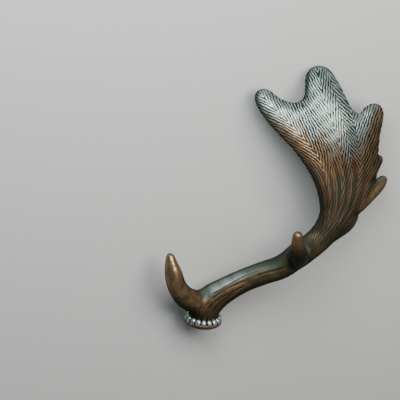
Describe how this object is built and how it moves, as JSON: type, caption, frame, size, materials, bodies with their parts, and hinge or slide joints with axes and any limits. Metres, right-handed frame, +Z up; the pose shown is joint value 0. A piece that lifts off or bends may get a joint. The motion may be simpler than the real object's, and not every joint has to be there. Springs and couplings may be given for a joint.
{
  "type": "fallow deer antler",
  "caption": "Single palmate antler, cast, with burr and pearls, brow and tray tines, dished fluted palm, three broad spellers and rear points, lying on its inner side",
  "frame": {"origin": "Middle of the footprint on the surface that the antler lies on, at the bottom of its bounding box.", "axes": "+Z up from that surface, +X along the longest extent from the palm towards the burr, +Y towards the rear spur. The outer face of the palm faces up and the antler rests on the rim of the burr, the top speller and the rear spur."},
  "size_m": [0.5162, 0.3018, 0.1732],
  "materials": {
    "beam_bone": "satin",
    "tine_bone": "gloss",
    "palm_bone": "satin",
    "speller_bone": "satin"
  },
  "bodies": {
    "root": {"beam": "beam_bone", "brow_tine": "tine_bone", "tray_tine": "tine_bone", "rear_spur": "tine_bone", "palm": "palm_bone", "front_speller": "speller_bone", "top_speller": "speller_bone", "rear_speller": "speller_bone"}
  },
  "joints": []
}
